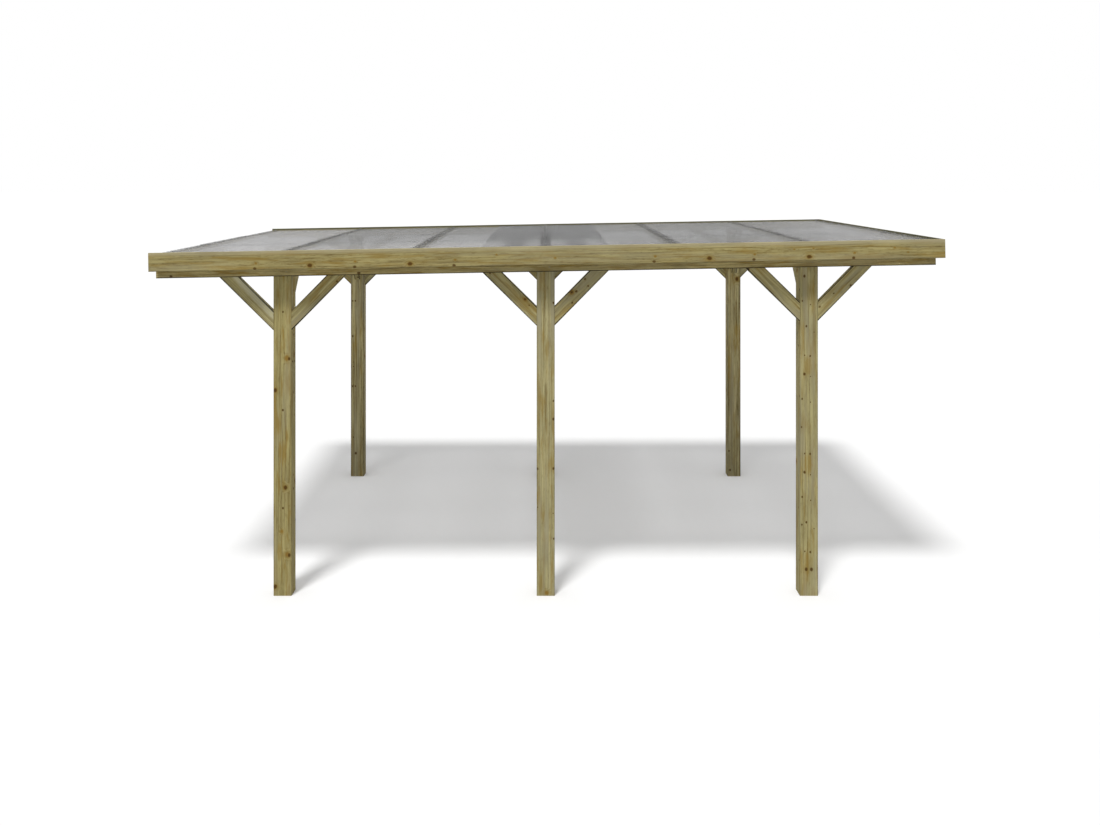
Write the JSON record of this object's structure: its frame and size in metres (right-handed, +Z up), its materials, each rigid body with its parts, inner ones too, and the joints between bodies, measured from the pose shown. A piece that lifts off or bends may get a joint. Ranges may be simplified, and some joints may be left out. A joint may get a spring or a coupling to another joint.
{
  "type": "carport",
  "caption": "Free-standing timber carport: square posts with knee braces carry purlins, flat rafters and a nearly flat roof of translucent profiled sheets edged by fascia boards",
  "frame": {"origin": "on the ground under the middle of the roof outline", "axes": "+X along the roof towards its higher end, +Y across from the front row of posts to the rear row, +Z up"},
  "size_m": [5.0013, 3.13, 2.2838],
  "materials": {
    "posts": "pressure-treated pine, planed",
    "purlins": "pressure-treated pine, planed",
    "rafters": "pressure-treated pine, planed",
    "braces": "pressure-treated pine, planed",
    "fascias": "pressure-treated pine, planed",
    "roof_sheets": "smoke-grey translucent PVC sheet"
  },
  "bodies": {
    "root": {"brace_front_left_high": "braces", "brace_front_left_low": "braces", "brace_front_middle_high": "braces", "brace_front_middle_low": "braces", "brace_front_right_high": "braces", "brace_front_right_low": "braces", "brace_rear_left_high": "braces", "brace_rear_left_low": "braces", "brace_rear_middle_high": "braces", "brace_rear_middle_low": "braces", "brace_rear_right_high": "braces", "brace_rear_right_low": "braces", "cross_brace_front_left": "braces", "cross_brace_front_middle": "braces", "cross_brace_front_right": "braces", "cross_brace_rear_left": "braces", "cross_brace_rear_middle": "braces", "cross_brace_rear_right": "braces", "fascia_front": "fascias", "fascia_high_end": "fascias", "fascia_rear": "fascias", "post_front_left": "posts", "post_front_middle": "posts", "post_front_right": "posts", "post_rear_left": "posts", "post_rear_middle": "posts", "post_rear_right": "posts", "purlin_front": "purlins", "purlin_rear": "purlins", "rafter_1": "rafters", "rafter_2": "rafters", "rafter_3": "rafters", "rafter_4": "rafters", "rafter_5": "rafters", "rafter_6": "rafters", "rafter_7": "rafters", "sheet_high_front": "roof_sheets", "sheet_high_middle": "roof_sheets", "sheet_high_rear": "roof_sheets", "sheet_low_front": "roof_sheets", "sheet_low_middle": "roof_sheets", "sheet_low_rear": "roof_sheets"}
  },
  "joints": []
}
